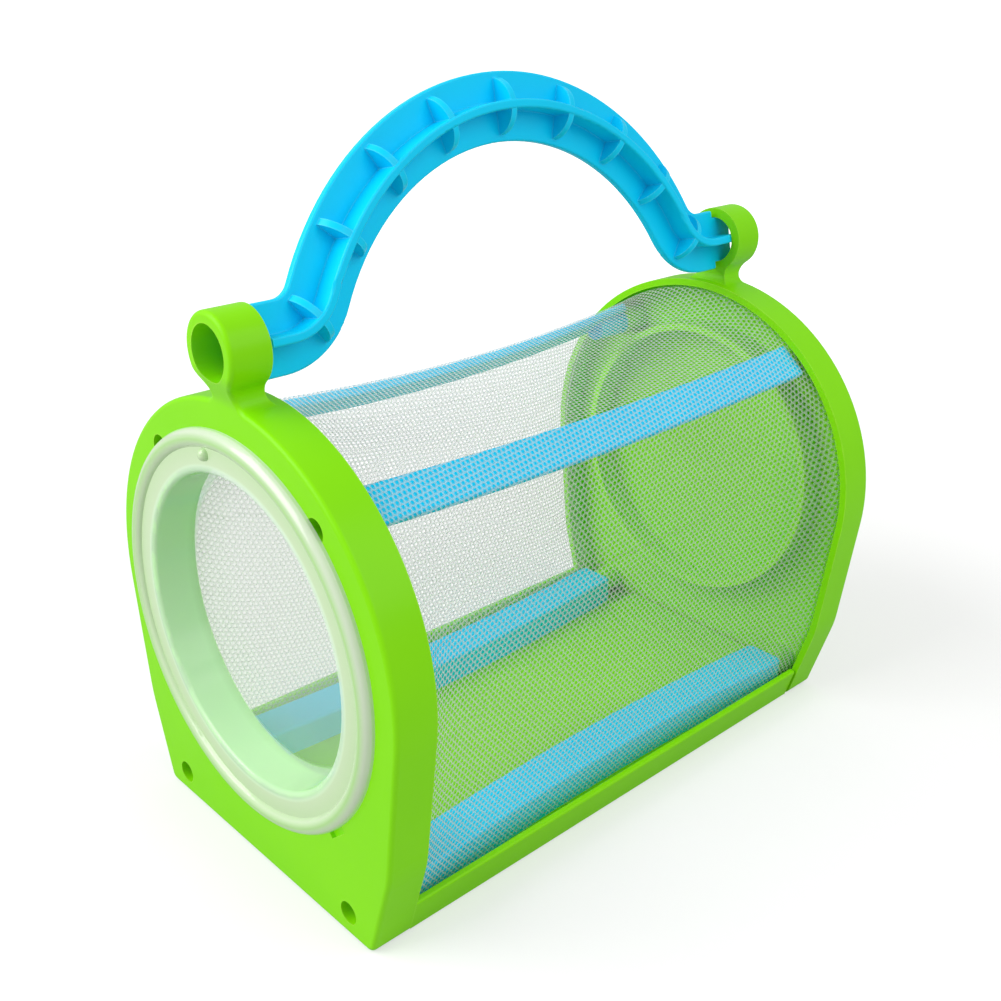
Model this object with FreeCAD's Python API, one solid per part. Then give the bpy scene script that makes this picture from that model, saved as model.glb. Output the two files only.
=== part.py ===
import FreeCAD, Part
import math
import os

Vector = FreeCAD.Vector

# Driving dimensions, in millimetres and degrees.
# The cage stands on z = 0, its axis is Y, and the lid is at the front, towards -Y.

# End plates
cage_length = 175.0          # between the outer faces of the two end plates
arch_radius = 57.0           # outside radius of the arch
arch_height = 66.0           # height of the arch's centre, which is also the lid's
foot_width = 91.0            # flat foot of a plate
foot_corner_radius = 2.5
flank_lean = 6.5             # by which the straight flank under the arch leans inwards
knee_height = 25.0           # where the flank meets the slope of the foot
knee_radius = 35.0
least_round = 0.4            # of a corner's inside
rim_depth = 11.2
rim_wall = 2.0
face_wall = 2.2
fold_radius = 1.2            # outer edge between face and rim

# Handle lugs
lug_rise = 12.0              # of the handle's axis above the arch
lug_bore_radius = 6.5
lug_wall = 2.7
lug_proud = 3.0              # how far a lug stands out past the plate's face
lug_setback = 3.9            # of a lug's inner face behind the rim's end
lug_flare_radius = 3.2       # hollow between the lug's ring and the arch
lug_blend_height = 8.0       # over which the lug's face runs back to the plate's face
lug_head_room = 1.0          # by which the lug's side outline clears its top

# Front opening and its lid
collar_gap = 2.2             # between the opening's collar and the upper screw bosses
collar_wall = 2.0
lid_lap = 9.0                # of the flange past the opening
lid_clearance = 0.3
lid_bead_width = 4.4
lid_bead_height = 2.6
lid_flange_thickness = 1.3
lid_wall = 1.5
lid_depth = 11.0
lid_draft = 1.2              # how much narrower the plug is at its floor
lid_floor = 1.3
lid_mouth_radius = 1.2       # rounding from the flange into the cup
lid_bead_edge = 0.8          # upright edge of the bead
lid_nub_radius = 1.6         # moulding nub on the flange
lid_nub_angle = 101.0
pry_notch_angle = -48.0
pry_notch_width = 7.0
pry_notch_depth = 1.1
pry_notch_reach = 1.6        # how far the notch shows past the lid's edge

# Screws
screw_head_radius = 2.6
screw_head_height = 2.0
screw_shank_radius = 1.3
screw_bite = 9.0             # length of shank inside a strut
screw_dome_height = 1.1
screw_slot_length = 3.2
screw_slot_width = 0.8
screw_slot_depth = 0.9
screw_clearance = 0.2
pilot_clearance = 0.05
pilot_spare = 1.0            # depth of a pilot hole past its screw's tip
recess_clearance = 0.4       # round a screw's head
recess_depth = 5.0
boss_wall = 1.2
lower_screw_inset = 5.8      # from the outer face of a lower strut
lower_screw_rise = 3.6       # above the tray's floor

# Upper struts
upper_strut_angle = 50.0     # above the horizontal, seen from the arch's centre
upper_strut_width = 10.0
upper_strut_thickness = 2.6
upper_strut_bow = 4.5        # drawn inwards at mid-length by the net
upper_strut_edge_radius = 0.7
strut_boss_radius = 3.6
strut_boss_length = 12.0

# Lower struts
lower_strut_width = 12.5
lower_strut_height = 8.5
lower_strut_bow = 3.5
lower_strut_edge_radius = 1.0
lower_strut_corner_radius = 2.0

# Base tray
tray_floor = 3.0
tray_wall = 2.0
tray_wall_height = 9.5
tray_lip_radius = 0.6
tray_end_gap = 0.6           # between the tray's ends and the rims
tray_inset = 0.5             # of the tray's walls behind the plates' outline
tongue_side_gap = 4.0        # between a tongue and the lower struts
tongue_end_gap = 1.0         # between a tongue's end and the plate's face
tongue_lap = 5.0             # along the floor
tongue_thickness = 2.0
tongue_clearance = 0.1

# Net
net_thickness = 0.6
net_clearance = 0.3
net_tuck = 6.0               # depth of the lower hem below the top of the lower struts
net_flare_length = 12.0      # over which the net draws in from a rim
net_slack = 0.08             # share of the rim's bulge that is left at the waist

# Handle, drawn upright in the plane of the Y axis, then leaned about the lug axis
handle_apex_height = 43.5    # of the grip's centreline above the lug axis
handle_bend_radius = 13.6
handle_straight = 5.8        # level run between a bend and its shoulder
handle_web_width = 16.8
handle_web_thickness = 2.2
handle_band_width = 14.4
handle_band_thickness = 2.2
handle_edge_radius = 0.6
handle_rib_radius = 6.9
handle_rib_thickness = 1.7
handle_rib_pitch = 20.1      # along the centreline, from the apex
handle_rib_margin = 5.0      # least run from the last disc to the end of the bend
handle_shoulder_gap = 1.6    # from a shoulder to its lug
handle_spigot_reach = 6.0    # of a spigot's upright blade into its lug
handle_level_reach = 2.8     # of its level blade
handle_fit_clearance = 0.08
handle_lean = -12.0          # about +Y, so the grip leans to -X

# Values worked out from the driving dimensions
front_face = -cage_length / 2
rim_end = cage_length / 2 - rim_depth
arch_centre = Vector(0, 0, arch_height)
lug_height = arch_height + arch_radius + lug_rise
lug_radius = lug_bore_radius + lug_wall
recess_radius = screw_head_radius + recess_clearance
boss_radius = recess_radius + boss_wall
hull_radius = arch_radius - rim_wall
net_radius = hull_radius - net_clearance - net_thickness / 2
upper_strut_half = upper_strut_width / 2
net_flat = math.sqrt((net_radius + net_thickness / 2) ** 2 - upper_strut_half ** 2) - net_thickness / 2
upper_strut_face = net_flat - net_thickness / 2 - net_clearance
upper_screw_radius = upper_strut_face - boss_radius
upper_screw_x = upper_screw_radius * math.cos(math.radians(upper_strut_angle))
upper_screw_z = arch_height + upper_screw_radius * math.sin(math.radians(upper_strut_angle))
opening_radius = upper_screw_radius - boss_radius - collar_gap - collar_wall
lid_radius = opening_radius + lid_lap
lower_strut_top = tray_floor + lower_strut_height
pilot_radius = screw_shank_radius + pilot_clearance
pilot_depth = screw_bite + pilot_spare
through = 1.0                # by which a cutting tool passes the faces that it cuts
tiny = 1e-6                  # for picking edges by their place


# Outline of an end plate

def polar(angle):
    return (math.cos(angle), math.sin(angle))


def outline_lines():
    """The flank, slope and foot as outward normals with their distances from the origin."""
    flank = polar(-math.radians(flank_lean))
    flank_line = (flank[0], flank[1], arch_radius + flank[1] * arch_height)
    knee_half_width = (flank_line[2] - flank[1] * knee_height) / flank[0]
    run = knee_half_width - foot_width / 2
    slope_length = math.hypot(run, knee_height)
    slope = (knee_height / slope_length, -run / slope_length)
    slope_line = (slope[0], slope[1], slope[0] * foot_width / 2)
    foot_line = (0.0, -1.0, 0.0)
    return flank_line, slope_line, foot_line


FLANK, SLOPE, FOOT = outline_lines()


def crossing(first, second, inset):
    """Point (x, z) where two outline lines meet after both move inwards."""
    a, b, c = first[0], first[1], first[2] - inset
    d, e, f = second[0], second[1], second[2] - inset
    det = a * e - b * d
    return ((c * e - b * f) / det, (a * f - c * d) / det)


def corner_points(first, second, inset, radius):
    """Start, middle and end (x, z) of the round between two outline lines, swelling or hollow."""
    hollow = first[0] * second[1] > first[1] * second[0]
    round_radius = -radius - inset if hollow else max(radius - inset, least_round)
    cx, cz = crossing(first, second, inset + round_radius)
    mx, mz = first[0] + second[0], first[1] + second[1]
    length = math.hypot(mx, mz)
    normals = (first[:2], (mx / length, mz / length), second[:2])
    return [(cx + round_radius * nx, cz + round_radius * nz) for nx, nz in normals]


def plate_outline(inset, y):
    """Closed outline of an end plate in the plane y, moved inwards by inset."""
    radius = arch_radius - inset
    spring = (FLANK[0] * radius, arch_height + FLANK[1] * radius)
    knee = corner_points(FLANK, SLOPE, inset, knee_radius)
    toe = corner_points(SLOPE, FOOT, inset, foot_corner_radius)

    def right(point):
        return Vector(point[0], y, point[1])

    def left(point):
        return Vector(-point[0], y, point[1])

    crown = Vector(0, y, arch_height + radius)
    edges = [Part.makeLine(left(toe[2]), right(toe[2]))]
    edges.append(Part.Arc(right(toe[2]), right(toe[1]), right(toe[0])).toShape())
    edges.append(Part.makeLine(right(toe[0]), right(knee[2])))
    edges.append(Part.Arc(right(knee[2]), right(knee[1]), right(knee[0])).toShape())
    edges.append(Part.makeLine(right(knee[0]), right(spring)))
    edges.append(Part.Arc(right(spring), crown, left(spring)).toShape())
    edges.append(Part.makeLine(left(spring), left(knee[0])))
    edges.append(Part.Arc(left(knee[0]), left(knee[1]), left(knee[2])).toShape())
    edges.append(Part.makeLine(left(knee[2]), left(toe[0])))
    edges.append(Part.Arc(left(toe[0]), left(toe[1]), left(toe[2])).toShape())
    return Part.Wire(edges)


def outline_x(inset, z):
    """Half-width of the sloping foot of the outline at height z."""
    return (SLOPE[2] - inset - SLOPE[1] * z) / SLOPE[0]


# Places on the outline that several pieces share
wall_face = outline_x(tray_inset + tray_wall, tray_floor)
strut_room = min(wall_face, outline_x(tray_inset + tray_wall, lower_strut_top))
lower_strut_face = strut_room - 2 * net_clearance - net_thickness
lower_screw_x = lower_strut_face - lower_screw_inset
lower_screw_z = tray_floor + lower_screw_rise
screw_places = [
    (upper_screw_x, upper_screw_z),
    (-upper_screw_x, upper_screw_z),
    (lower_screw_x, lower_screw_z),
    (-lower_screw_x, lower_screw_z),
]


# End plates

def cylinder(radius, start, length, x, z):
    """Cylinder along +Y from y = start."""
    return Part.makeCylinder(radius, length, Vector(x, start, z), Vector(0, 1, 0))


def plate_shell():
    """Face, rim and lug with one rounded edge round the front, open towards the middle of the cage."""
    blank = Part.Face(plate_outline(0, front_face)).extrude(Vector(0, rim_depth, 0))
    blank = blank.fuse(lug())

    def on_front_outline(edge):
        level_seam = edge.BoundBox.ZLength < tiny and edge.BoundBox.ZMin > arch_height
        return not level_seam and all(v.Y < front_face + tiny for v in edge.Vertexes)

    blank = blank.makeFillet(fold_radius, [e for e in blank.Edges if on_front_outline(e)])
    hollow = Part.Face(plate_outline(rim_wall, front_face + face_wall))
    return blank.cut(hollow.extrude(Vector(0, rim_depth, 0)))


def lug():
    """Ring for the handle's spigot, with hollow flares down to the arch."""
    to_arch = arch_radius + lug_flare_radius
    to_ring = lug_radius + lug_flare_radius
    apart = lug_height - arch_height
    rise = (to_arch ** 2 - to_ring ** 2 + apart ** 2) / (2 * apart)
    flare_x = math.sqrt(to_arch ** 2 - rise ** 2)
    flare_z = arch_height + rise
    front = front_face - lug_proud
    arch_touch = arch_radius / to_arch
    ring_touch = lug_radius / to_ring
    arch_point = (flare_x * arch_touch, arch_height + rise * arch_touch)
    ring_point = (flare_x * ring_touch, lug_height + (flare_z - lug_height) * ring_touch)
    root_z = arch_point[1] - rim_wall
    turn = math.atan2(arch_point[1] - flare_z, arch_point[0] - flare_x)
    turn_end = math.atan2(ring_point[1] - flare_z, ring_point[0] - flare_x)
    middle = (turn % (2 * math.pi) + turn_end % (2 * math.pi)) / 2
    hollow = (flare_x + lug_flare_radius * math.cos(middle), flare_z + lug_flare_radius * math.sin(middle))

    def at(x, z):
        return Vector(x, front, z)

    edges = [Part.makeLine(at(-arch_point[0], root_z), at(arch_point[0], root_z))]
    edges.append(Part.makeLine(at(arch_point[0], root_z), at(*arch_point)))
    edges.append(Part.Arc(at(*arch_point), at(*hollow), at(*ring_point)).toShape())
    top = at(0, lug_height + lug_radius)
    far_ring = at(-ring_point[0], ring_point[1])
    far_arch = at(-arch_point[0], arch_point[1])
    edges.append(Part.Arc(at(*ring_point), top, far_ring).toShape())
    edges.append(Part.Arc(far_ring, at(-hollow[0], hollow[1]), far_arch).toShape())
    edges.append(Part.makeLine(far_arch, at(-arch_point[0], root_z)))
    seen_from_front = Part.Face(Part.Wire(edges)).extrude(Vector(0, lug_proud + rim_depth, 0))

    # Seen from the side, the front face runs back to the plate's face in an S, and the inner one in a hollow.
    low = root_z - through
    blend_top = arch_height + arch_radius + lug_blend_height
    blend_foot = arch_point[1]
    hollow_foot = arch_height + arch_radius - fold_radius
    high = lug_height + lug_radius + lug_head_room
    rim_back = front_face + rim_depth
    back = rim_back - lug_setback
    inner = front_face + fold_radius
    side_points = [(rim_back, low), (rim_back, hollow_foot), (back, hollow_foot + lug_setback), (back, high)]
    side_points += [(front, high), (front, blend_top), (front_face, blend_foot), (inner, low)]
    corners = [Vector(-2 * lug_radius, y, z) for y, z in side_points]
    sway = (blend_top - blend_foot) / 3
    poles = [corners[5], corners[5] - Vector(0, 0, sway), corners[6] + Vector(0, 0, sway), corners[6]]
    blend = Part.BezierCurve()
    blend.setPoles(poles)
    hollow_turn = lug_setback * math.sqrt(0.5)
    hollow_middle = corners[1] + Vector(0, -hollow_turn, lug_setback - hollow_turn)
    seen_edges = [
        Part.makeLine(corners[0], corners[1]),
        Part.Arc(corners[1], hollow_middle, corners[2]).toShape(),
        Part.makeLine(corners[2], corners[3]),
        Part.makeLine(corners[3], corners[4]),
        Part.makeLine(corners[4], corners[5]),
        blend.toShape(),
        Part.makeLine(corners[6], corners[7]),
        Part.makeLine(corners[7], corners[0]),
    ]
    seen_from_side = Part.Face(Part.Wire(seen_edges)).extrude(Vector(lug_radius * 4, 0, 0))
    return seen_from_front.common(seen_from_side)


def plate_blank():
    """What both end plates share: shell, lug, round collar and screw bosses."""
    plate = plate_shell()
    start = front_face + face_wall / 2
    depth = rim_depth - face_wall / 2
    inside = Part.Face(plate_outline(rim_wall / 2, front_face)).extrude(Vector(0, rim_depth, 0))
    for x, z in screw_places:
        boss = cylinder(boss_radius, start, depth, x, z)
        plate = plate.fuse(boss.common(inside))
    collar = cylinder(opening_radius + collar_wall, start, depth, 0, arch_height)
    plate = plate.fuse(collar.cut(cylinder(opening_radius, start, depth, 0, arch_height)))
    bore_start = front_face - lug_proud - through
    bore_length = rim_depth + lug_proud + 2 * through
    return plate.cut(cylinder(lug_bore_radius, bore_start, bore_length, 0, lug_height))


def cut_screw_holes(plate):
    for x, z in screw_places:
        plate = plate.cut(cylinder(recess_radius, front_face - through, recess_depth + through, x, z))
        hole_radius = screw_shank_radius + screw_clearance
        plate = plate.cut(cylinder(hole_radius, front_face, rim_depth + through, x, z))
    return plate


def front_end_plate():
    """Plate with the lid's opening through it and a notch to prise the lid out."""
    plate = cut_screw_holes(plate_blank())
    plate = plate.cut(cylinder(opening_radius, front_face - through, face_wall + 2 * through, 0, arch_height))
    reach = pry_notch_reach + pry_notch_depth
    notch = Part.makeBox(reach, pry_notch_depth, pry_notch_width)
    notch.translate(Vector(lid_radius - pry_notch_depth, front_face, arch_height - pry_notch_width / 2))
    notch.rotate(arch_centre, Vector(0, 1, 0), -pry_notch_angle)
    return plate.cut(notch)


def back_end_plate():
    """The same plate, left closed and turned to face the other way."""
    plate = cut_screw_holes(plate_blank())
    plate.rotate(Vector(0, 0, 0), Vector(0, 0, 1), 180)
    return plate


# Lid

def lid():
    """Revolved lid: domed bead, thin flange, drafted plug wall and window floor."""
    flange = lid_radius
    plug = opening_radius - lid_clearance
    cup = plug - lid_wall
    bead_foot = flange - lid_bead_width

    def at(radius, out):
        return Vector(radius, front_face - out, arch_height)

    round_turn = lid_mouth_radius * (1 - math.sqrt(0.5))
    rim_start = at(cup + lid_mouth_radius, lid_flange_thickness)
    rim_middle = at(cup + round_turn, lid_flange_thickness - round_turn)
    rim_stop = at(cup, lid_flange_thickness - lid_mouth_radius)
    window = lid_depth - lid_floor
    edges = [
        Part.makeLine(at(plug, 0), at(flange, 0)),
        Part.makeLine(at(flange, 0), at(flange, lid_bead_edge)),
        Part.Arc(at(flange, lid_bead_edge), at(flange - lid_bead_width / 2, lid_bead_height),
                 at(bead_foot, lid_flange_thickness)).toShape(),
        Part.makeLine(at(bead_foot, lid_flange_thickness), rim_start),
        Part.Arc(rim_start, rim_middle, rim_stop).toShape(),
        Part.makeLine(rim_stop, at(cup - lid_draft, -window)),
        Part.makeLine(at(cup - lid_draft, -window), at(0, -window)),
        Part.makeLine(at(0, -window), at(0, -lid_depth)),
        Part.makeLine(at(0, -lid_depth), at(plug - lid_draft, -lid_depth)),
        Part.makeLine(at(plug - lid_draft, -lid_depth), at(plug, 0)),
    ]
    turned = Part.Face(Part.Wire(edges)).revolve(arch_centre, Vector(0, 1, 0), 360)
    nub = Part.makeSphere(lid_nub_radius, at(bead_foot - lid_nub_radius, lid_flange_thickness))
    nub = nub.cut(cylinder(flange, front_face, lid_nub_radius, 0, arch_height))
    nub.rotate(arch_centre, Vector(0, 1, 0), -lid_nub_angle)
    return turned.fuse(nub)


# Struts

def bowed_strip(outer, width, bow):
    """Strip along Y in the plane z = 0, its outer edge at x = outer, drawn inwards at mid-length."""
    inner = outer - width
    corners = ((outer, -rim_end), (outer, rim_end), (inner, rim_end), (inner, -rim_end))
    ends = [Vector(x, y, 0) for x, y in corners]
    edges = [
        Part.Arc(ends[0], Vector(outer - bow, 0, 0), ends[1]).toShape(),
        Part.makeLine(ends[1], ends[2]),
        Part.Arc(ends[2], Vector(inner - bow, 0, 0), ends[3]).toShape(),
        Part.makeLine(ends[3], ends[0]),
    ]
    return Part.Face(Part.Wire(edges))


def upper_strut():
    """Flat bar bowed towards the cage's axis, with a screw boss under each end; right-hand side."""
    side = bowed_strip(upper_strut_face, upper_strut_thickness, upper_strut_bow)
    side.translate(Vector(0, 0, -upper_strut_half))
    bar = side.extrude(Vector(0, 0, upper_strut_width))
    long_edges = [e for e in bar.Edges if e.Length > rim_end]
    bar = bar.makeFillet(upper_strut_edge_radius, long_edges)
    boss_room = boss_radius + strut_boss_radius
    under = bowed_strip(upper_strut_face - upper_strut_edge_radius, boss_room, upper_strut_bow)
    under.translate(Vector(0, 0, -boss_radius))
    under = under.extrude(Vector(0, 0, 2 * boss_radius))
    for start in (-rim_end, rim_end - strut_boss_length):
        boss = cylinder(strut_boss_radius, start, strut_boss_length, upper_screw_radius, 0)
        bar = bar.fuse(boss.common(under))
    for start in (-rim_end - through, rim_end - pilot_depth):
        bar = bar.cut(cylinder(pilot_radius, start, pilot_depth + through, upper_screw_radius, 0))
    bar.rotate(Vector(0, 0, 0), Vector(0, 1, 0), -upper_strut_angle)
    bar.translate(arch_centre)
    return bar


def lower_strut():
    """Bar on the floor, bowed inwards; right-hand side."""
    plan = bowed_strip(lower_strut_face, lower_strut_width, lower_strut_bow)
    plan.translate(Vector(0, 0, tray_floor))
    bar = plan.extrude(Vector(0, 0, lower_strut_height))
    uprights = [e for e in bar.Edges if e.BoundBox.ZLength > lower_strut_height / 2]
    bar = bar.makeFillet(lower_strut_corner_radius, uprights)
    top_edges = [e for e in bar.Edges if e.BoundBox.ZMin > lower_strut_top - tiny]
    bar = bar.makeFillet(lower_strut_edge_radius, top_edges)
    for start in (-rim_end - through, rim_end - pilot_depth):
        bar = bar.cut(cylinder(pilot_radius, start, pilot_depth + through, lower_screw_x, lower_screw_z))
    return bar


def mirrored(shape):
    return shape.mirror(Vector(0, 0, 0), Vector(1, 0, 0))


# Base tray

def base_tray():
    """Floor with leaning side walls, and a tongue at each end that lies on the rim."""
    half = rim_end - tray_end_gap

    def at(x, z):
        return Vector(x, -half, z)

    foot = outline_x(tray_inset, 0)
    top = outline_x(tray_inset, tray_wall_height)
    lip = outline_x(tray_inset + tray_wall, tray_wall_height)
    points = [at(foot, 0), at(top, tray_wall_height), at(lip, tray_wall_height), at(wall_face, tray_floor)]
    points += [Vector(-v.x, v.y, v.z) for v in reversed(points)]
    tray = Part.Face(Part.makePolygon(points + points[:1])).extrude(Vector(0, 2 * half, 0))
    lips = [e for e in tray.Edges if e.Length > half and e.BoundBox.ZMin > tray_wall_height - tiny]
    tray = tray.makeFillet(tray_lip_radius, lips)
    tongue_half_width = lower_strut_face - lower_strut_width - tongue_side_gap
    tongue_length = tongue_lap + tray_end_gap + rim_depth - face_wall - tongue_end_gap
    tongue = Part.makeBox(2 * tongue_half_width, tongue_length, tongue_thickness)
    tongue.translate(Vector(-tongue_half_width, half - tongue_lap, rim_wall + tongue_clearance))
    tray = tray.fuse(tongue)
    tongue.rotate(Vector(0, 0, 0), Vector(0, 0, 1), 180)
    return tray.fuse(tongue)


# Net

def net_pull(y):
    """Share of the rim's bulge that is left at y: 1 in the rims, least at the waist."""
    if abs(y) >= rim_end:
        return 1.0
    flare = math.cosh(y / net_flare_length) / math.cosh(rim_end / net_flare_length)
    return net_slack + (1 - net_slack) * flare


def bow_at(bow, y):
    """Inward offset of a bowed strut at y."""
    return bow * max(0.0, 1 - (y / rim_end) ** 2)


def net_points(y):
    """Right half of the net's section as (x, z) points with their outward normals."""
    pull = net_pull(y)
    angle = math.radians(upper_strut_angle)
    up = (math.cos(angle), math.sin(angle))
    along = (-up[1], up[0])
    inset = rim_wall + net_clearance + net_thickness / 2
    hem_inset = max(inset, tray_inset + tray_wall + net_clearance + net_thickness / 2)
    hem_height = lower_strut_top - net_tuck
    strut_side = lower_strut_face + net_clearance + net_thickness / 2

    def on_strut(flat, share):
        return (flat * up[0] + share * along[0], arch_height + flat * up[1] + share * along[1])

    def mix(first, second, share):
        return (first[0] + (second[0] - first[0]) * share, first[1] + (second[1] - first[1]) * share)

    def bulged(rim_point, ends, rim_ends, share):
        chord = mix(ends[0], ends[1], share)
        rim_chord = mix(rim_ends[0], rim_ends[1], share)
        out, rise = rim_point[0] - rim_chord[0], rim_point[1] - rim_chord[1]
        return (chord[0] + pull * out, chord[1] + pull * rise)

    slip = bow_at(lower_strut_bow, y)
    hem = mix((strut_side - slip, hem_height), (outline_x(hem_inset, hem_height), hem_height), pull)
    rim_foot = (outline_x(hem_inset, lower_strut_top), lower_strut_top)
    foot = mix((strut_side - slip, lower_strut_top), rim_foot, pull)
    flat = net_flat - bow_at(upper_strut_bow, y)
    low = on_strut(flat, -upper_strut_half)
    high = on_strut(flat, upper_strut_half)
    rim_low = on_strut(net_flat, -upper_strut_half)
    rim_high = on_strut(net_flat, upper_strut_half)
    ends, rim_ends = (foot, low), (rim_foot, rim_low)
    spring = (net_radius * FLANK[0], arch_height + net_radius * FLANK[1])
    rise = (math.atan2(rim_low[1] - arch_height, rim_low[0]) - math.radians(flank_lean)) / 2
    shoulder = (net_radius * math.cos(rise), arch_height + net_radius * math.sin(rise))
    knee = corner_points(FLANK, SLOPE, inset, knee_radius)
    rim_side = [knee[2], knee[1], knee[0], spring, shoulder]
    spans = [(point[1] - rim_foot[1]) / (rim_low[1] - rim_foot[1]) for point in rim_side]
    side = [bulged(point, ends, rim_ends, span) for point, span in zip(rim_side, spans)]
    crown_rise = arch_height + net_radius - rim_high[1]
    crown = (0.0, high[1] + pull * crown_rise)
    level = (1.0, 0.0)
    lean = polar(rise * pull)
    half_turn = math.atan2(upper_strut_half, net_flat)
    places = [(point, level) for point in [hem, foot] + side[:4]]
    places += [(side[4], lean), (low, polar(angle - half_turn))]
    places += [(high, polar(angle + half_turn)), (crown, (0.0, 1.0))]
    return places


def net_section(y):
    """Closed thin section of the net across the cage at y."""
    places = net_points(y)

    def skin(offset):
        right = [Vector(p[0] + offset * n[0], y, p[1] + offset * n[1]) for p, n in places]
        left = [Vector(-v.x, v.y, v.z) for v in right]
        return right, left

    def chain(right, left):
        return [
            Part.makeLine(right[0], right[1]),
            Part.makeLine(right[1], right[2]),
            Part.Arc(right[2], right[3], right[4]).toShape(),
            Part.makeLine(right[4], right[5]),
            Part.Arc(right[5], right[6], right[7]).toShape(),
            Part.makeLine(right[7], right[8]),
            Part.Arc(right[8], right[9], left[8]).toShape(),
            Part.makeLine(left[8], left[7]),
            Part.Arc(left[7], left[6], left[5]).toShape(),
            Part.makeLine(left[5], left[4]),
            Part.Arc(left[4], left[3], left[2]).toShape(),
            Part.makeLine(left[2], left[1]),
            Part.makeLine(left[1], left[0]),
        ]

    outer_right, outer_left = skin(net_thickness / 2)
    inner_right, inner_left = skin(-net_thickness / 2)
    edges = chain(outer_right, outer_left)
    edges.append(Part.makeLine(outer_left[0], inner_left[0]))
    edges += chain(inner_left, inner_right)
    edges.append(Part.makeLine(inner_right[0], outer_right[0]))
    return Part.Wire(edges)


def mesh_net():
    """Net lofted from rim to rim, with straight ends inside the rims."""
    end = cage_length / 2 - face_wall - net_clearance
    steps = [net_flare_length * share for share in (0.0, 0.2, 0.5, 0.9, 1.5, 2.4, 3.6, 5.0)]
    stations = [step - rim_end for step in steps] + [0.0] + [rim_end - step for step in reversed(steps)]
    net = Part.makeLoft([net_section(y) for y in stations], True, False)
    for near, far in ((-rim_end, -end), (rim_end, end)):
        net = net.fuse(Part.makeLoft([net_section(near), net_section(far)], True, True))
    return net


# Handle

# The arch and its two bends reach from shoulder to shoulder.
handle_shoulder = rim_end + lug_setback - handle_shoulder_gap
handle_bend_y = handle_shoulder - handle_straight
handle_join = (handle_bend_y ** 2 / handle_apex_height + handle_apex_height) / 2
handle_arch_radius = handle_join - handle_bend_radius
handle_centre = handle_apex_height - handle_arch_radius
handle_turn = math.atan2(handle_bend_y, handle_join - handle_apex_height)
handle_run = handle_join * handle_turn
handle_ribs_per_side = int((handle_run - handle_rib_margin) / handle_rib_pitch)


def handle_outline(offset):
    """Points of one long edge of the grip in its own plane, from the right end to the left end."""
    bend = handle_bend_radius - offset
    arch = handle_arch_radius + offset
    end = Vector(0, handle_shoulder, lug_height + offset)
    low = Vector(0, handle_bend_y, lug_height + offset)

    def on_bend(angle):
        across = handle_bend_y - bend * math.sin(angle)
        return Vector(0, across, lug_height + handle_bend_radius - bend * math.cos(angle))

    def on_arch(angle):
        return Vector(0, arch * math.sin(angle), lug_height + handle_centre + arch * math.cos(angle))

    right = [end, low, on_bend(handle_turn / 2), on_arch(handle_turn)]
    left = [Vector(0, -v.y, v.z) for v in right]
    return right, on_arch(0), left


def handle_strip(half_width):
    """Face of the grip's plane between two long edges, half_width each side of the centreline."""

    def long_edge(offset):
        right, apex, left = handle_outline(offset)
        return [
            Part.makeLine(right[0], right[1]),
            Part.Arc(right[1], right[2], right[3]).toShape(),
            Part.Arc(right[3], apex, left[3]).toShape(),
            Part.Arc(left[3], left[2], left[1]).toShape(),
            Part.makeLine(left[1], left[0]),
        ]

    outer, inner = handle_outline(half_width), handle_outline(-half_width)
    edges = long_edge(half_width) + long_edge(-half_width)
    edges.append(Part.makeLine(outer[0][0], inner[0][0]))
    edges.append(Part.makeLine(outer[2][0], inner[2][0]))
    return Part.Face(Part.Wire(Part.__sortEdges__(edges)))


def handle_plate(half_width, thickness):
    face = handle_strip(half_width)
    face.translate(Vector(-thickness / 2, 0, 0))
    return face.extrude(Vector(thickness, 0, 0))


def handle_station(distance):
    """Point and direction of the centreline at a distance from the apex."""
    side = math.copysign(1.0, distance)
    run = abs(distance)
    angle = run / handle_arch_radius
    if angle <= handle_turn:
        height = lug_height + handle_centre + handle_arch_radius * math.cos(angle)
        place = Vector(0, side * handle_arch_radius * math.sin(angle), height)
        return place, Vector(0, math.cos(angle), -side * math.sin(angle))
    angle = (handle_run - run) / handle_bend_radius
    across = handle_bend_y - handle_bend_radius * math.sin(angle)
    height = lug_height + handle_bend_radius - handle_bend_radius * math.cos(angle)
    return Vector(0, side * across, height), Vector(0, math.cos(angle), -side * math.sin(angle))


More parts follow.
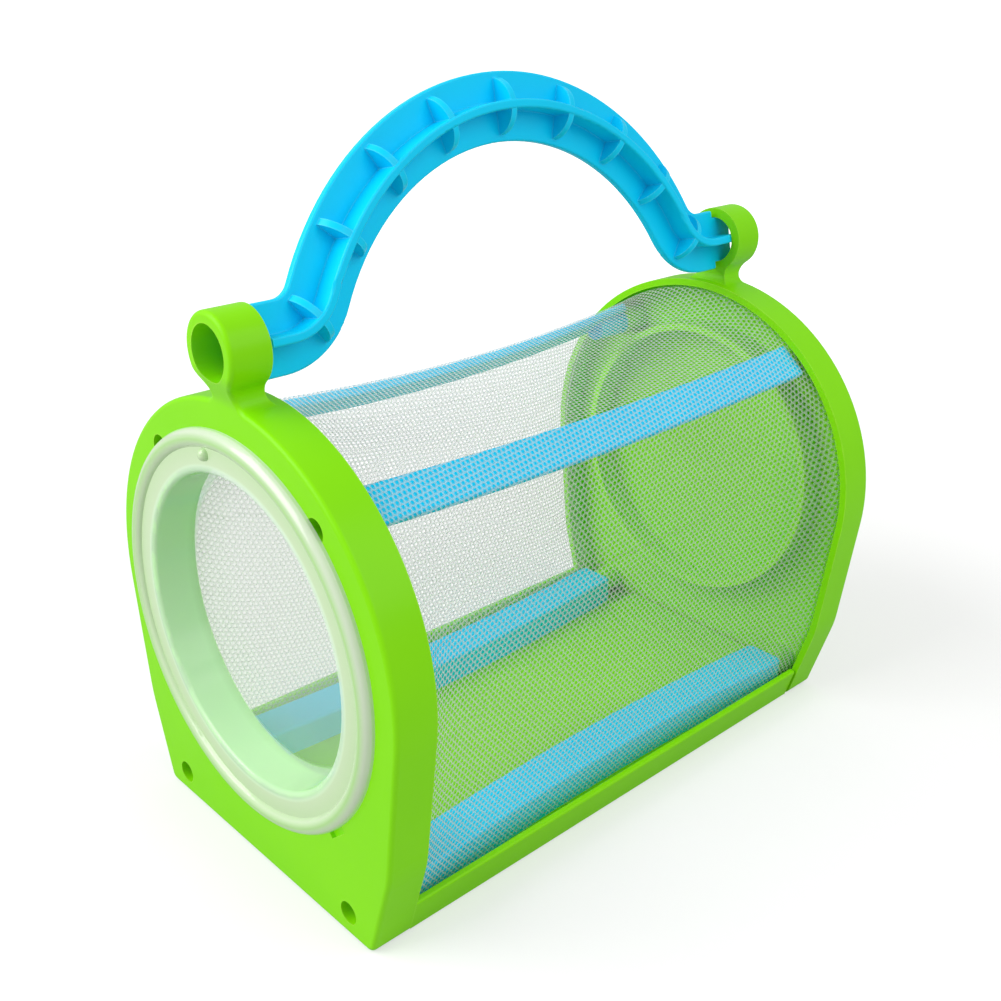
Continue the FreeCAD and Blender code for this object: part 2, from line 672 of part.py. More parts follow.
def handle():
    """Cross-section grip of web and band, stiffened by discs, with cross-shaped spigots."""
    web = handle_plate(handle_web_width / 2, handle_web_thickness)
    band = handle_plate(handle_band_thickness / 2, handle_band_width)
    web_edges = [e for e in web.Edges if e.BoundBox.XLength < tiny and e.BoundBox.YLength > tiny]
    grip = web.makeFillet(handle_edge_radius, web_edges)
    band_edges = [e for e in band.Edges if e.BoundBox.XLength < tiny and e.BoundBox.YLength > tiny]
    grip = grip.fuse(band.makeFillet(handle_edge_radius, band_edges))
    for step in range(-handle_ribs_per_side, handle_ribs_per_side + 1):
        place, direction = handle_station(step * handle_rib_pitch)
        foot = place - direction * (handle_rib_thickness / 2)
        grip = grip.fuse(Part.makeCylinder(handle_rib_radius, handle_rib_thickness, foot, direction))
    spigot_radius = lug_bore_radius - handle_fit_clearance
    spigot_length = handle_shoulder_gap + handle_spigot_reach
    level_length = handle_shoulder_gap + handle_level_reach
    round_bar = cylinder(spigot_radius, handle_shoulder, spigot_length, 0, lug_height)
    upright = Part.makeBox(handle_web_thickness, spigot_length, 2 * spigot_radius)
    upright.translate(Vector(-handle_web_thickness / 2, handle_shoulder, lug_height - spigot_radius))
    level = Part.makeBox(2 * spigot_radius, level_length, handle_band_thickness)
    level.translate(Vector(-spigot_radius, handle_shoulder, lug_height - handle_band_thickness / 2))
    spigot = upright.fuse(level).common(round_bar)
    grip = grip.fuse(spigot)
    spigot.rotate(Vector(0, 0, 0), Vector(0, 0, 1), 180)
    grip = grip.fuse(spigot)
    grip.rotate(Vector(0, 0, lug_height), Vector(0, 1, 0), handle_lean)
    return grip


# Screws

def screw():
    """Pan-head screw with a cross slot; its seat is at y = 0 and its shank runs to +Y."""
    length = rim_depth - recess_depth + screw_bite
    edge = screw_head_height - screw_dome_height

    def at(radius, out):
        return Vector(radius, -out, 0)

    crown = at(screw_head_radius * math.sqrt(0.5), edge + screw_dome_height * math.sqrt(0.5))
    edges = [Part.Arc(at(0, screw_head_height), crown, at(screw_head_radius, edge)).toShape()]
    rest = [at(screw_head_radius, edge), at(screw_head_radius, 0), at(screw_shank_radius, 0)]
    rest += [at(screw_shank_radius, screw_shank_radius - length), at(0, -length), at(0, screw_head_height)]
    edges += Part.makePolygon(rest).Edges
    body = Part.Face(Part.Wire(edges)).revolve(Vector(0, 0, 0), Vector(0, 1, 0), 360)
    for size in ((screw_slot_length, screw_slot_width), (screw_slot_width, screw_slot_length)):
        slot = Part.makeBox(size[0], 2 * screw_slot_depth, size[1])
        slot.translate(Vector(-size[0] / 2, -screw_head_height - screw_slot_depth, -size[1] / 2))
        body = body.cut(slot)
    return body


def screw_set(back):
    """The four screws of one end plate, as separate solids."""
    screws = []
    for x, z in screw_places:
        one = screw()
        one.translate(Vector(x, front_face + recess_depth, z))
        screws.append(one)
    group = Part.makeCompound(screws)
    if back:
        group.rotate(Vector(0, 0, 0), Vector(0, 0, 1), 180)
    return group


os.makedirs("parts", exist_ok=True)
right_upper = upper_strut()
right_lower = lower_strut()
pieces = {
    "front_end_plate": front_end_plate(),
    "back_end_plate": back_end_plate(),
    "base_tray": base_tray(),
    "lid": lid(),
    "upper_right_strut": right_upper,
    "upper_left_strut": mirrored(right_upper),
    "lower_right_strut": right_lower,
    "lower_left_strut": mirrored(right_lower),
    "mesh_net": mesh_net(),
    "handle": handle(),
    "front_screws": screw_set(False),
    "back_screws": screw_set(True),
}
for name, shape in pieces.items():
    box = shape.BoundBox
    size = "%.1f x %.1f x %.1f mm" % (box.XLength, box.YLength, box.ZLength)
    print(name, len(shape.Solids), "solids, valid", shape.isValid(), "volume %.0f," % shape.Volume, size)
    shape.exportStep("parts/" + name + ".step")
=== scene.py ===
# %% [markdown]
# An insect cage: two lime green end plates, blue struts between them, a white net stretched over the
# struts, a milky push-in lid and a ribbed blue handle. The construction comes ready made and packed, so
# the first step only loads it. Nothing that is loaded is moved: every finish and every new mesh is put
# where the loaded pieces already are.

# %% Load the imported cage
import math

import bpy
import numpy as np
from mathutils import Matrix, Vector
from mathutils.bvhtree import BVHTree


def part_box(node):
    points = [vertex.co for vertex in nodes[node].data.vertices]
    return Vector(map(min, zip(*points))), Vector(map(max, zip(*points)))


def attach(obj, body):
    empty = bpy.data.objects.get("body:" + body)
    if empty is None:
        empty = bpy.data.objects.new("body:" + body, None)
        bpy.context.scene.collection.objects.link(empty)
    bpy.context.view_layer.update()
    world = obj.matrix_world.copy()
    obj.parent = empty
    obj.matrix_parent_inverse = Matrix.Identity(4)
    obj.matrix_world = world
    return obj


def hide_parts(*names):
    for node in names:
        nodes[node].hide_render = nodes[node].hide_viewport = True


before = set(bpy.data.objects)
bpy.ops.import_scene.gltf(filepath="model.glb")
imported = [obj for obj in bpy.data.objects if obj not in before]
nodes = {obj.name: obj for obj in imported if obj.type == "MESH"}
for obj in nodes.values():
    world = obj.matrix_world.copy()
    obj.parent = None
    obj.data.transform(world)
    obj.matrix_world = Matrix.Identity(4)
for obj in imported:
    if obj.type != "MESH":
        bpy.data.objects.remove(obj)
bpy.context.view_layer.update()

# %% [markdown]
# The camera comes first, because every later choice is judged through it. A photograph of a box-like
# thing can be matched by trial, or by fitting a camera to corners, holes and circles of known size. The
# second way gives the angles below, together with the focal length in pixels of a square frame.

# %% Camera at the photograph's view
VIEW_AZIMUTH = math.radians(46.81)
VIEW_ELEVATION = math.radians(24.14)
VIEW_ROLL = math.radians(0.58)
VIEW_DISTANCE = 0.3465
VIEW_TARGET = Vector((-0.0058, 0.0, 0.0722))
FRAME_PIXELS = 1001
FOCAL_PIXELS = 1238.3
SENSOR_WIDTH = 36.0
NEAREST_SEEN = 0.01


def way_out(azimuth, elevation):
    """Direction that leads away from the cage; azimuth 0 is in front of the lid."""
    level = math.cos(elevation)
    return Vector((math.sin(azimuth) * level, -math.cos(azimuth) * level, math.sin(elevation)))


def place_camera():
    """A camera that looks at the target from the view's direction, turned a little about it."""
    back = way_out(VIEW_AZIMUTH, VIEW_ELEVATION)
    right = Vector((math.cos(VIEW_AZIMUTH), math.sin(VIEW_AZIMUTH), 0.0))
    up = back.cross(right)
    turned_right = right * math.cos(VIEW_ROLL) + up * math.sin(VIEW_ROLL)
    turned_up = up * math.cos(VIEW_ROLL) - right * math.sin(VIEW_ROLL)
    lens = bpy.data.cameras.new("view")
    lens.sensor_width = SENSOR_WIDTH
    lens.lens = FOCAL_PIXELS / FRAME_PIXELS * SENSOR_WIDTH
    lens.clip_start = NEAREST_SEEN
    camera = bpy.data.objects.new("view", lens)
    turn = Matrix((turned_right, turned_up, back)).transposed()
    camera.matrix_world = Matrix.Translation(VIEW_TARGET + back * VIEW_DISTANCE) @ turn.to_4x4()
    bpy.context.scene.collection.objects.link(camera)
    bpy.context.scene.camera = camera
    return camera


camera = place_camera()
print("camera lens", round(camera.data.lens, 2), "mm")

# %% [markdown]
# The stage is a pale floor and a white world. A product shot usually has its white from a lit paper
# sweep, but more light on the paper would bleach the plastic too. So the floor adds a little light of
# its own that only the camera sees, more of it farther out, and the rest of its brightness, with the shadow
# of the cage, comes from the lamps.

# %% Floor and world
FLOOR_HALF = 12.0
FLOOR_DIM_RADIUS = 0.175
FLOOR_WHITE_RADIUS = 0.7
FLOOR_DROP = 0.0003
FLOOR_GLOW = 0.5
FLOOR_PAPER = (0.5, 0.5, 0.5, 1.0)
FLOOR_BOUNCE = (0.55, 0.55, 0.55, 1.0)
WORLD_STRENGTH = 0.55
WHITE = (1.0, 1.0, 1.0, 1.0)


def set_inputs(node, **values):
    """Sets unlinked inputs of a node by name, with a low line for each blank."""
    for name, value in values.items():
        node.inputs[name.replace("_", " ")].default_value = value


def add_node(tree, kind, **values):
    """Makes a node and sets its unlinked inputs by name."""
    node = tree.nodes.new(kind)
    set_inputs(node, **values)
    return node


def feed(tree, value, socket):
    """Gives a socket a fixed value, or links another socket to it."""
    if isinstance(value, (int, float, tuple)):
        socket.default_value = value
    else:
        tree.links.new(value, socket)


def vector_node(tree, operation, *values):
    """Works out a vector or a number from vectors."""
    node = tree.nodes.new("ShaderNodeVectorMath")
    node.operation = operation
    for socket, value in zip(node.inputs, values):
        feed(tree, value, socket)
    return node


def own_place(tree):
    """Where a point lies on its own piece."""
    return tree.nodes.new("ShaderNodeTexCoord").outputs["Object"]


def choose_by_ray(tree, output, for_light, for_camera):
    """Gives an output one shader for light rays and another for what the camera sees directly."""
    choice = tree.nodes.new("ShaderNodeMixShader")
    seen_directly = tree.nodes.new("ShaderNodeLightPath").outputs["Is Camera Ray"]
    tree.links.new(seen_directly, choice.inputs[0])
    tree.links.new(for_light.outputs[0], choice.inputs[1])
    tree.links.new(for_camera.outputs[0], choice.inputs[2])
    tree.links.new(choice.outputs[0], output.inputs["Surface"])


def floor_material():
    material = bpy.data.materials.new("paper_floor")
    material.use_nodes = True
    tree = material.node_tree
    tree.nodes.clear()
    output = tree.nodes.new("ShaderNodeOutputMaterial")
    paper = add_node(tree, "ShaderNodeBsdfDiffuse", Color=FLOOR_PAPER)
    glow = add_node(tree, "ShaderNodeEmission", Color=WHITE)
    away = vector_node(tree, "LENGTH", own_place(tree)).outputs["Value"]
    whiter = add_node(tree, "ShaderNodeMapRange", From_Min=FLOOR_DIM_RADIUS, From_Max=FLOOR_WHITE_RADIUS,
                      To_Min=FLOOR_GLOW, To_Max=1.0)
    tree.links.new(away, whiter.inputs["Value"])
    tree.links.new(whiter.outputs["Result"], glow.inputs["Strength"])
    lit = tree.nodes.new("ShaderNodeAddShader")
    tree.links.new(paper.outputs[0], lit.inputs[0])
    tree.links.new(glow.outputs[0], lit.inputs[1])
    bounce = add_node(tree, "ShaderNodeBsdfDiffuse", Color=FLOOR_BOUNCE)
    choose_by_ray(tree, output, bounce, lit)
    return material


def make_floor():
    mesh = bpy.data.meshes.new("floor")
    corners = [(x * FLOOR_HALF, y * FLOOR_HALF, -FLOOR_DROP) for x, y in ((-1, -1), (1, -1), (1, 1), (-1, 1))]
    mesh.from_pydata(corners, [], [(0, 1, 2, 3)])
    mesh.materials.append(floor_material())
    floor = bpy.data.objects.new("floor", mesh)
    bpy.context.scene.collection.objects.link(floor)
    return floor


def light_world():
    world = bpy.data.worlds.new("studio")
    bpy.context.scene.world = world
    world.use_nodes = True
    tree = world.node_tree
    tree.nodes.clear()
    output = tree.nodes.new("ShaderNodeOutputWorld")
    soft = add_node(tree, "ShaderNodeBackground", Color=WHITE, Strength=WORLD_STRENGTH)
    white = add_node(tree, "ShaderNodeBackground", Color=WHITE, Strength=1.0)
    choose_by_ray(tree, output, soft, white)
    bpy.context.scene.view_settings.view_transform = "Standard"


make_floor()
light_world()
print("stage ready")

# %% [markdown]
# Plastic toys look right under large soft lamps: a small lamp gives hard spots, while a wide one draws
# the long pale highlight along a fold. One key lamp hangs over the lid side, and a weaker one fills the
# long side of the cage.

# %% Lamps


def add_lamp(name, azimuth, elevation, distance, size, power):
    """A square lamp aimed at the point that the camera looks at, with its angles in degrees."""
    out = way_out(math.radians(azimuth), math.radians(elevation))
    lamp = bpy.data.lights.new(name, "AREA")
    lamp.size = size
    lamp.energy = power
    item = bpy.data.objects.new(name, lamp)
    item.location = VIEW_TARGET + out * distance
    item.rotation_euler = out.to_track_quat("Z", "Y").to_euler()
    bpy.context.scene.collection.objects.link(item)
    return item


add_lamp("key_lamp", azimuth=-25, elevation=36, distance=1.1, size=0.9, power=10.5)
add_lamp("fill_lamp", azimuth=105, elevation=38, distance=1.2, size=0.9, power=5.4)

# %% [markdown]
# Moulded plastic is never one flat colour: pigment clouds it a little and the mould's skin varies the
# gloss. Its edges also get a patchy pale highlight painted into the colour. The green and blue pieces and
# the lid all need that, so it is one node group, placed in each material with its own values.

# %% Node group for moulded plastic
CLOUD_DETAIL = 3.0
EDGE_SAMPLES = 4
EDGE_STRENGTH = 3.0
NOISE_MEAN = 0.5
GRAIN_SHARE = 0.25
# Each of these is the scale of a noise and its detail
EDGE_HIGHLIGHT_PATCHES = (180.0, 2.0)
GLOSS_SMEARS = (95.0, 4.0)
MOULD_PEEL = (420.0, 2.0)
MOULD_GRAIN = (2600.0, 1.0)


def new_group(name, inputs, outputs):
    """A node group with inputs, each a label, a kind and a value, and outputs, each a label and a kind."""
    group = bpy.data.node_groups.new(name, "ShaderNodeTree")
    for label, kind, value in inputs:
        socket = group.interface.new_socket(label, in_out="INPUT", socket_type=kind)
        socket.default_value = value
    for label, kind in outputs:
        group.interface.new_socket(label, in_out="OUTPUT", socket_type=kind)
    start = group.nodes.new("NodeGroupInput")
    stop = group.nodes.new("NodeGroupOutput")
    return group, start, stop


def math_node(tree, operation, first, second):
    """Works out a number from two numbers."""
    node = tree.nodes.new("ShaderNodeMath")
    node.operation = operation
    for socket, value in zip(node.inputs, (first, second)):
        feed(tree, value, socket)
    return node.outputs[0]


def between(tree, share, low, high):
    """The number that lies a share of the way from low to high."""
    return math_node(tree, "ADD", math_node(tree, "MULTIPLY", share, high - low), low)


def mix_colour(tree, share, first, second, blend="MIX"):
    """Blends a share of the second colour into the first."""
    node = tree.nodes.new("ShaderNodeMix")
    node.data_type = "RGBA"
    node.blend_type = blend
    feed(tree, share, node.inputs["Factor"])
    tree.links.new(first, node.inputs["A"])
    tree.links.new(second, node.inputs["B"])
    return node.outputs["Result"]


def noise_of(tree, place, scale, detail):
    """A cloudy number from 0 to 1 that varies with the place."""
    node = add_node(tree, "ShaderNodeTexNoise", Detail=detail)
    tree.links.new(place, node.inputs["Vector"])
    feed(tree, scale, node.inputs["Scale"])
    return node.outputs["Fac"]


def moulded_skin_group():
    """Colour, roughness and height of a moulded surface, with clouded pigment and a painted highlight on
    edges.
    """
    group, start, stop = new_group(
        "moulded_skin",
        [("Colour", "NodeSocketColor", WHITE), ("Deep Colour", "NodeSocketColor", WHITE),
         ("Edge Highlight Colour", "NodeSocketColor", WHITE), ("Cloud Scale", "NodeSocketFloat", 40.0),
         ("Gloss Roughness", "NodeSocketFloat", 0.3), ("Gloss Spread", "NodeSocketFloat", 0.1),
         ("Edge Radius", "NodeSocketFloat", 0.0006), ("Edge Highlight Share", "NodeSocketFloat", 0.5)],
        [("Colour", "NodeSocketColor"), ("Roughness", "NodeSocketFloat"), ("Height", "NodeSocketFloat")])
    place = own_place(group)
    clouds = noise_of(group, place, start.outputs["Cloud Scale"], CLOUD_DETAIL)
    pigment = mix_colour(group, clouds, start.outputs["Deep Colour"], start.outputs["Colour"])
    # Painted highlight: edges, where the bevelled normal turns from the true one, turn paler in patches
    bevel = group.nodes.new("ShaderNodeBevel")
    bevel.samples = EDGE_SAMPLES
    group.links.new(start.outputs["Edge Radius"], bevel.inputs["Radius"])
    true_normal = group.nodes.new("ShaderNodeNewGeometry").outputs["Normal"]
    facing = vector_node(group, "DOT_PRODUCT", bevel.outputs["Normal"], true_normal).outputs["Value"]
    edge = math_node(group, "MULTIPLY", math_node(group, "SUBTRACT", 1.0, facing), EDGE_STRENGTH)
    patchy_edge = math_node(group, "MULTIPLY", edge, noise_of(group, place, *EDGE_HIGHLIGHT_PATCHES))
    painted_edge_highlight = math_node(group, "MULTIPLY", patchy_edge, start.outputs["Edge Highlight Share"])
    limited = math_node(group, "MINIMUM", painted_edge_highlight, 1.0)
    colour = mix_colour(group, limited, pigment, start.outputs["Edge Highlight Colour"])
    group.links.new(colour, stop.inputs["Colour"])
    smear = math_node(group, "SUBTRACT", noise_of(group, place, *GLOSS_SMEARS), NOISE_MEAN)
    swing = math_node(group, "MULTIPLY", smear, start.outputs["Gloss Spread"])
    rough = math_node(group, "ADD", start.outputs["Gloss Roughness"], swing)
    group.links.new(rough, stop.inputs["Roughness"])
    grain = math_node(group, "MULTIPLY", noise_of(group, place, *MOULD_GRAIN), GRAIN_SHARE)
    height = math_node(group, "ADD", noise_of(group, place, *MOULD_PEEL), grain)
    group.links.new(height, stop.inputs["Height"])
    return group


MOULDED_SKIN = moulded_skin_group()
print("group", MOULDED_SKIN.name, "with", len(MOULDED_SKIN.nodes), "nodes")

# %% [markdown]
# The plates and the tray are lime green, the struts and the handle sky blue. Both are the same kind of
# soft-gloss plastic, so one function makes the two finishes from their colours.

# %% Green and blue plastic
GRAIN_HEIGHT = 0.00004


def start_material(name):
    """A new material, its node tree and its shader."""
    material = bpy.data.materials.new(name)
    material.use_nodes = True
    tree = material.node_tree
    shader = tree.nodes["Principled BSDF"]
    return material, tree, shader


def place_skin(tree, shader, values, bump):
    """Puts the moulded skin into a material and links it to the shader."""
    skin = tree.nodes.new("ShaderNodeGroup")
    skin.node_tree = MOULDED_SKIN
    for name, value in values.items():
        skin.inputs[name].default_value = value
    relief = add_node(tree, "ShaderNodeBump", Strength=bump, Distance=GRAIN_HEIGHT)
    tree.links.new(skin.outputs["Height"], relief.inputs["Height"])
    tree.links.new(relief.outputs["Normal"], shader.inputs["Normal"])
    tree.links.new(skin.outputs["Colour"], shader.inputs["Base Color"])
    tree.links.new(skin.outputs["Roughness"], shader.inputs["Roughness"])
    return skin


def soft_gloss_plastic(name, colour, deep, painted_edge_highlight):
    material, tree, shader = start_material(name)
    # The third colour and the last value set the painted highlight on edges
    values = {"Colour": colour, "Deep Colour": deep, "Edge Highlight Colour": painted_edge_highlight, "Cloud Scale": 30.0,
              "Gloss Roughness": 0.38, "Gloss Spread": 0.12, "Edge Radius": 0.0007, "Edge Highlight Share": 0.55}
    place_skin(tree, shader, values, bump=0.35)
    set_inputs(shader, Specular_IOR_Level=0.13, Coat_Weight=0.06, Coat_Roughness=0.2)
    return material


# The third colour of each is the painted highlight along edges
GREEN = soft_gloss_plastic("lime_green_plastic", (0.25, 0.75, 0.002, 1), (0.21, 0.69, 0.001, 1),
                           (0.55, 0.90, 0.10, 1))
BLUE = soft_gloss_plastic("sky_blue_plastic", (0.0, 0.66, 0.97, 1), (0.0, 0.58, 0.90, 1),
                          (0.15, 0.82, 1.0, 1))


def give(material, *names):
    """Gives loaded nodes a material in place of the one they came with."""
    for name in names:
        slots = nodes[name].data.materials
        slots.clear()
        slots.append(material)


give(GREEN, "front_end_plate", "back_end_plate", "base_tray")
give(BLUE, "upper_right_strut", "upper_left_strut", "lower_right_strut", "lower_left_strut", "handle")
print("plastic on", sum(GREEN.name in o.data.materials for o in nodes.values()), "green nodes")

# %% [markdown]
# The lid is one moulding of milky plastic, clear but smoky in its window. Its rim lies flat on the green
# plate
# and is opaque: the green that the plate would shine through the milk is painted into its colour, and the
# paler rings on its bead are painted highlights. Its cup's wall lets more through and carries painted green
# bounce light from the plate. Real volume scattering would be slow and noisy in such thin walls, so milk and
# colour follow the distance from the lid's axis, taken from the lid's own box. A wall has two faces, and the
# farther one is left clear, so that it veils what is behind it only once. Milk passes most of the light on,
# so the lid's shadow is fainter than the lid.

# %% Milky lid
LID_LOW, LID_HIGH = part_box("lid")
LID_RADIUS = (LID_HIGH.x - LID_LOW.x) / 2
LID_CENTRE = ((LID_LOW.x + LID_HIGH.x) / 2, 0.0, (LID_LOW.z + LID_HIGH.z) / 2)
LID_TO_RADIUS = (1 / LID_RADIUS, 0.0, 1 / LID_RADIUS)
LID_MILK = [(0.745, 0.44), (0.765, 0.68), (0.81, 0.70), (0.825, 1.0)]
# Colour by distance from the axis: smoky window, painted green bounce light on the cup wall, the plate's
# green painted into the rim, painted highlight rings on the bead
LID_TINT_AND_PAINTED_LIGHT = [(0.745, (0.60, 0.63, 0.59, 1)), (0.765, (0.80, 1.0, 0.82, 1)), (0.81, (0.80, 0.96, 0.80, 1)),
            (0.835, (0.66, 0.79, 0.54, 1)), (0.905, (0.60, 0.76, 0.47, 1)), (0.925, (0.68, 0.80, 0.57, 1)),
            (0.955, (0.44, 0.71, 0.28, 1)), (0.985, (0.74, 0.80, 0.67, 1))]
LID_SHADOW = 0.1


def ramp_of(tree, value, stops):
    """Colour ramp through the given stops, each a place from 0 to 1 with its colour."""
    node = tree.nodes.new("ShaderNodeValToRGB")
    elements = node.color_ramp.elements
    elements.remove(elements[1])
    elements[0].position, elements[0].color = stops[0]
    for place, colour in stops[1:]:
        elements.new(place).color = colour
    tree.links.new(value, node.inputs["Fac"])
    return node.outputs["Color"]


def near_face(tree, shadow):
    """1 on the nearer face of a wall and 0 on the farther one, with the shadow's share for light rays."""
    near = math_node(tree, "SUBTRACT", 1.0, tree.nodes.new("ShaderNodeNewGeometry").outputs["Backfacing"])
    path = tree.nodes.new("ShaderNodeLightPath")
    light = math_node(tree, "MAXIMUM", path.outputs["Is Shadow Ray"], path.outputs["Is Diffuse Ray"])
    return math_node(tree, "MULTIPLY", near, between(tree, light, 1.0, shadow))


def milky_plastic():
    material, tree, shader = start_material("milky_lid_plastic")
    # The third colour is the painted highlight along the lid's edges
    values = {"Colour": (0.88, 0.94, 0.86, 1), "Deep Colour": (0.83, 0.90, 0.81, 1),
              "Edge Highlight Colour": (0.97, 0.99, 0.96, 1), "Cloud Scale": 24.0, "Gloss Roughness": 0.2,
              "Gloss Spread": 0.1, "Edge Radius": 0.0006, "Edge Highlight Share": 0.6}
    skin = place_skin(tree, shader, values, bump=0.25)
    from_centre = vector_node(tree, "SUBTRACT", own_place(tree), LID_CENTRE).outputs["Vector"]
    from_axis = vector_node(tree, "MULTIPLY", from_centre, LID_TO_RADIUS).outputs["Vector"]
    radius = vector_node(tree, "LENGTH", from_axis).outputs["Value"]
    milk = ramp_of(tree, radius, [(at, (share, share, share, 1)) for at, share in LID_MILK])
    tree.links.new(math_node(tree, "MULTIPLY", milk, near_face(tree, LID_SHADOW)), shader.inputs["Alpha"])
    # The lid's own colour multiplied with the painted green light and painted highlight rings
    tint_and_painted_light = mix_colour(tree, 1.0, skin.outputs["Colour"], ramp_of(tree, radius, LID_TINT_AND_PAINTED_LIGHT), blend="MULTIPLY")
    tree.links.new(tint_and_painted_light, shader.inputs["Base Color"])
    set_inputs(shader, Coat_Weight=0.35, Coat_Roughness=0.05)
    return material


give(milky_plastic(), "lid")
print("lid radius", round(LID_RADIUS * 1000, 1), "mm")

# %% [markdown]
# The screws are plated steel, dull and brushed by the driver. Only their heads show, deep in the round
# recesses of the plates.

# %% Screw steel
STEEL_BLOTCHES = (900.0, 3.0)
STEEL_SHADES = [(0.0, (0.38, 0.37, 0.35, 1)), (1.0, (0.72, 0.72, 0.70, 1))]
STEEL_ROUGHNESS = (0.2, 0.5)


def screw_steel():
    material, tree, shader = start_material("screw_steel")
    set_inputs(shader, Metallic=1.0)
    blotch = noise_of(tree, own_place(tree), *STEEL_BLOTCHES)
    tree.links.new(ramp_of(tree, blotch, STEEL_SHADES), shader.inputs["Base Color"])
    tree.links.new(between(tree, blotch, *STEEL_ROUGHNESS), shader.inputs["Roughness"])
    return material


give(screw_steel(), "front_screws", "back_screws")
print("screws finished")

# %% [markdown]
# The net decides how the cage looks. A picture of a mesh on a smooth sheet would do from far away, but it
# goes flat where the net is seen edge-on, and a sheet has no holes in its mesh. So the net is knitted
# here from real threads: six-sided meshes in a staggered lattice, each thread a thin diamond in section.
# First the loaded solid net is felt out with rays from inside the cage, which gives the surface that the
# threads lie on. From its lower edges the hems go straight down beside the lower struts.

# %% Surface of the net
NET_FEEL_HEIGHT = 0.045
NET_FIRST_ANGLE = math.radians(-52.0)
NET_HIDDEN_END = 0.004
NET_MOST_SKIN = 0.0015
NET_STATIONS = 200
NET_RAYS = 340
NET_COLUMNS = 600
NET_SEAT = 0.3
NET_HEM_GAP = 0.0003
SKIN_STEP = 1e-5


def net_tree():
    """The loaded net, ready for rays."""
    mesh = nodes["mesh_net"].data
    return BVHTree.FromPolygons([v.co for v in mesh.vertices], [list(p.vertices) for p in mesh.polygons])


def felt_section(tree, y, hem_height):
    """Points where rays from inside the cage pass through the net at y, drawn down to the hems."""
    start = Vector((0.0, y, NET_FEEL_HEIGHT))
    line = []
    for angle in np.linspace(NET_FIRST_ANGLE, math.pi - NET_FIRST_ANGLE, NET_RAYS):
        way = Vector((math.cos(angle), 0.0, math.sin(angle)))
        inner = tree.ray_cast(start, way)[0]
        outer = tree.ray_cast(inner + way * SKIN_STEP, way)[0] if inner else None
        if outer and (outer - inner).length < NET_MOST_SKIN:
            line.append(inner.lerp(outer, NET_SEAT))
    hems = [Vector((end.x, y, hem_height)) for end in (line[0], line[-1])]
    return np.array([hems[0]] + line + [hems[1]])


def even_spacing(line, count):
    """The points of a line, moved along it to even distances, and the line's length."""
    steps = np.linalg.norm(np.diff(line, axis=0), axis=1)
    run = np.concatenate([[0.0], np.cumsum(steps)])
    wanted = np.linspace(0.0, run[-1], count)
    return np.stack([np.interp(wanted, run, line[:, k]) for k in range(3)], axis=1), run[-1]


def feel_net():
    """Grid of points on the net, station by station along Y, with its girth and its run laid flat."""
    tree = net_tree()
    low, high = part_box("mesh_net")
    hem_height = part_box("lower_right_strut")[0].z + NET_HEM_GAP
    lines, girths = [], []
    for y in np.linspace(low.y + NET_HIDDEN_END, high.y - NET_HIDDEN_END, NET_STATIONS):
        line, girth = even_spacing(felt_section(tree, y, hem_height), NET_COLUMNS)
        lines.append(line)
        girths.append(girth)
    grid = np.array(lines)
    lengths = np.linalg.norm(np.diff(grid, axis=0), axis=2).mean(axis=1)
    return grid, float(np.mean(girths)), np.concatenate([[0.0], np.cumsum(lengths)])


NET_GRID, NET_GIRTH, NET_RUN = feel_net()
NET_LENGTH = float(NET_RUN[-1])
print("net laid flat", round(NET_GIRTH * 1000, 1), "by", round(NET_LENGTH * 1000, 1), "mm")

# %% [markdown]
# A six-sided lattice is two sets of knots, A and B, repeated by two steps. Each mesh of the net has six
# knots round it. The threads get their body from two copies of every knot, one on the outside and one
# on the inside of the net, and from six points round each hole. The lattice lies a little askew, as the
# net was cut. It is knitted in four panels, side by side, so that no mesh grows too heavy. Each panel also
# keeps how thick the thread is at every point, full along its middle and nothing at its fuzzy edge, and
# which faces are thread: the small walls that close a panel's border are not, or a seam would show.

# %% Threads of the net
NET_SIDES = 6
NEXT_SIDE = (np.arange(NET_SIDES) + 1) % NET_SIDES
NET_PITCH = 0.00155
NET_THREAD_WIDTH = 0.00085
NET_THREAD_HEIGHT = 0.00014
NET_HOLE_SHARE = 1 - NET_THREAD_WIDTH / NET_PITCH
NET_SKEW = math.radians(9.0)
NET_JITTER = 0.03
NET_SPARE = 1.5
NET_PANELS = ("net_right_side", "net_right_shoulder", "net_left_shoulder", "net_left_side")
NET_PANEL_WIDTH = NET_GIRTH / len(NET_PANELS)
NET_SEED = 7


def on_net(places):
    """Points and outward normals on the net for flat places (across, along) in metres."""
    across = np.clip(places[:, 0] / NET_GIRTH, 0.0, 1.0) * (NET_COLUMNS - 1)
    along = np.interp(places[:, 1], NET_RUN, np.arange(NET_STATIONS))
    i = np.minimum(across.astype(int), NET_COLUMNS - 2)
    j = np.minimum(along.astype(int), NET_STATIONS - 2)
    u, v = (across - i)[:, None], (along - j)[:, None]
    a, b = NET_GRID[j, i], NET_GRID[j, i + 1]
    c, d = NET_GRID[j + 1, i], NET_GRID[j + 1, i + 1]
    point = (a * (1 - u) + b * u) * (1 - v) + (c * (1 - u) + d * u) * v
    normal = np.cross((c - a) * (1 - u) + (d - b) * u, (b - a) * (1 - v) + (d - c) * v)
    return point, normal / np.linalg.norm(normal, axis=1, keepdims=True)


